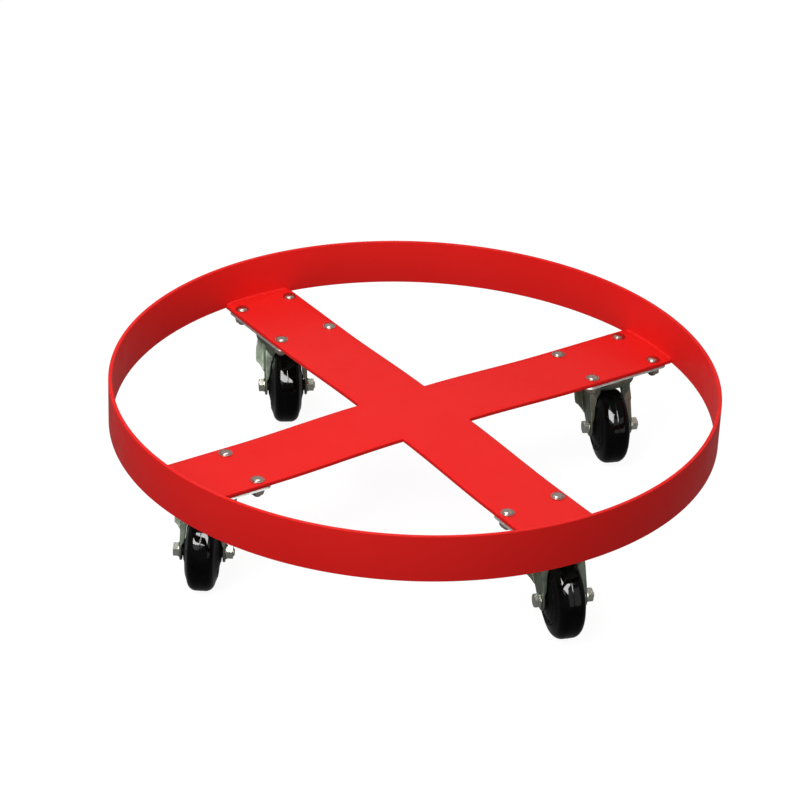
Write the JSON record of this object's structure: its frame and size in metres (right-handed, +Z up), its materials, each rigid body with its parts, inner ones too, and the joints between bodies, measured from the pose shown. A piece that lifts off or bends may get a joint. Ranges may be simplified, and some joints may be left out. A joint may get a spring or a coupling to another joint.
{
  "type": "drum dolly",
  "caption": "Low round dolly for a steel drum: a flat-bar ring around a flat plate cross, on swivel casters.",
  "frame": {"origin": "on the floor, under the centre of the ring", "axes": "+Z up; +X along the arm over caster_a, +Y along the arm over caster_b"},
  "size_m": [0.6176, 0.6215, 0.1503],
  "materials": {
    "red_paint": "semi-gloss",
    "zinc_sheet": "satin zinc plate",
    "bright_zinc": "bright zinc plate",
    "dark_steel": "oiled steel",
    "black_tread": "hard and glossy",
    "black_hub": "moulded black"
  },
  "bodies": {
    "frame": {"ring": "red_paint", "cross": "red_paint", "caster_a_top_plate": "zinc_sheet", "caster_a_ball_race": "dark_steel", "caster_a_lower_race": "dark_steel", "caster_a_kingpin": "bright_zinc", "caster_a_mount_bolt_1": "bright_zinc", "caster_a_mount_bolt_2": "bright_zinc", "caster_a_mount_bolt_3": "bright_zinc", "caster_a_mount_bolt_4": "bright_zinc", "caster_b_top_plate": "zinc_sheet", "caster_b_ball_race": "dark_steel", "caster_b_lower_race": "dark_steel", "caster_b_kingpin": "bright_zinc", "caster_b_mount_bolt_1": "bright_zinc", "caster_b_mount_bolt_2": "bright_zinc", "caster_b_mount_bolt_3": "bright_zinc", "caster_b_mount_bolt_4": "bright_zinc", "caster_c_top_plate": "zinc_sheet", "caster_c_ball_race": "dark_steel", "caster_c_lower_race": "dark_steel", "caster_c_kingpin": "bright_zinc", "caster_c_mount_bolt_1": "bright_zinc", "caster_c_mount_bolt_2": "bright_zinc", "caster_c_mount_bolt_3": "bright_zinc", "caster_c_mount_bolt_4": "bright_zinc", "caster_d_top_plate": "zinc_sheet", "caster_d_ball_race": "dark_steel", "caster_d_lower_race": "dark_steel", "caster_d_kingpin": "bright_zinc", "caster_d_mount_bolt_1": "bright_zinc", "caster_d_mount_bolt_2": "bright_zinc", "caster_d_mount_bolt_3": "bright_zinc", "caster_d_mount_bolt_4": "bright_zinc"},
    "caster_a_swivel": {"caster_a_fork": "zinc_sheet", "caster_a_axle_bolt": "bright_zinc", "caster_a_axle_nut": "bright_zinc", "caster_a_axle_sleeve": "dark_steel"},
    "caster_a_wheel": {"caster_a_wheel_hub": "black_hub", "caster_a_wheel_tread": "black_tread"},
    "caster_b_swivel": {"caster_b_fork": "zinc_sheet", "caster_b_axle_bolt": "bright_zinc", "caster_b_axle_nut": "bright_zinc", "caster_b_axle_sleeve": "dark_steel"},
    "caster_b_wheel": {"caster_b_wheel_hub": "black_hub", "caster_b_wheel_tread": "black_tread"},
    "caster_c_swivel": {"caster_c_fork": "zinc_sheet", "caster_c_axle_bolt": "bright_zinc", "caster_c_axle_nut": "bright_zinc", "caster_c_axle_sleeve": "dark_steel"},
    "caster_c_wheel": {"caster_c_wheel_hub": "black_hub", "caster_c_wheel_tread": "black_tread"},
    "caster_d_swivel": {"caster_d_fork": "zinc_sheet", "caster_d_axle_bolt": "bright_zinc", "caster_d_axle_nut": "bright_zinc", "caster_d_axle_sleeve": "dark_steel"},
    "caster_d_wheel": {"caster_d_wheel_hub": "black_hub", "caster_d_wheel_tread": "black_tread"}
  },
  "joints": [
    {"name": "caster_a_swivel_turn", "type": "hinge", "parent": "frame", "child": "caster_a_swivel", "pos_m": [0.245, 0, 0.09131], "axis": [0, 0, 1], "continuous": true},
    {"name": "caster_a_wheel_spin", "type": "hinge", "parent": "caster_a_swivel", "child": "caster_a_wheel", "pos_m": [0.23376, -0.02782, 0.03981], "axis": [0.9272, -0.3746, 0], "continuous": true},
    {"name": "caster_b_swivel_turn", "type": "hinge", "parent": "frame", "child": "caster_b_swivel", "pos_m": [0, 0.245, 0.09131], "axis": [0, 0, 1], "continuous": true},
    {"name": "caster_b_wheel_spin", "type": "hinge", "parent": "caster_b_swivel", "child": "caster_b_wheel", "pos_m": [-0.01454, 0.21876, 0.03981], "axis": [0.8746, -0.4848, 0], "continuous": true},
    {"name": "caster_c_swivel_turn", "type": "hinge", "parent": "frame", "child": "caster_c_swivel", "pos_m": [-0.245, 0, 0.09131], "axis": [0, 0, 1], "continuous": true},
    {"name": "caster_c_wheel_spin", "type": "hinge", "parent": "caster_c_swivel", "child": "caster_c_wheel", "pos_m": [-0.26284, -0.02412, 0.03981], "axis": [0.8039, -0.5948, 0], "continuous": true},
    {"name": "caster_d_swivel_turn", "type": "hinge", "parent": "frame", "child": "caster_d_swivel", "pos_m": [0, -0.245, 0.09131], "axis": [0, 0, 1], "continuous": true},
    {"name": "caster_d_wheel_spin", "type": "hinge", "parent": "caster_d_swivel", "child": "caster_d_wheel", "pos_m": [-0.01001, -0.27328, 0.03981], "axis": [0.9426, -0.3338, 0], "continuous": true}
  ]
}
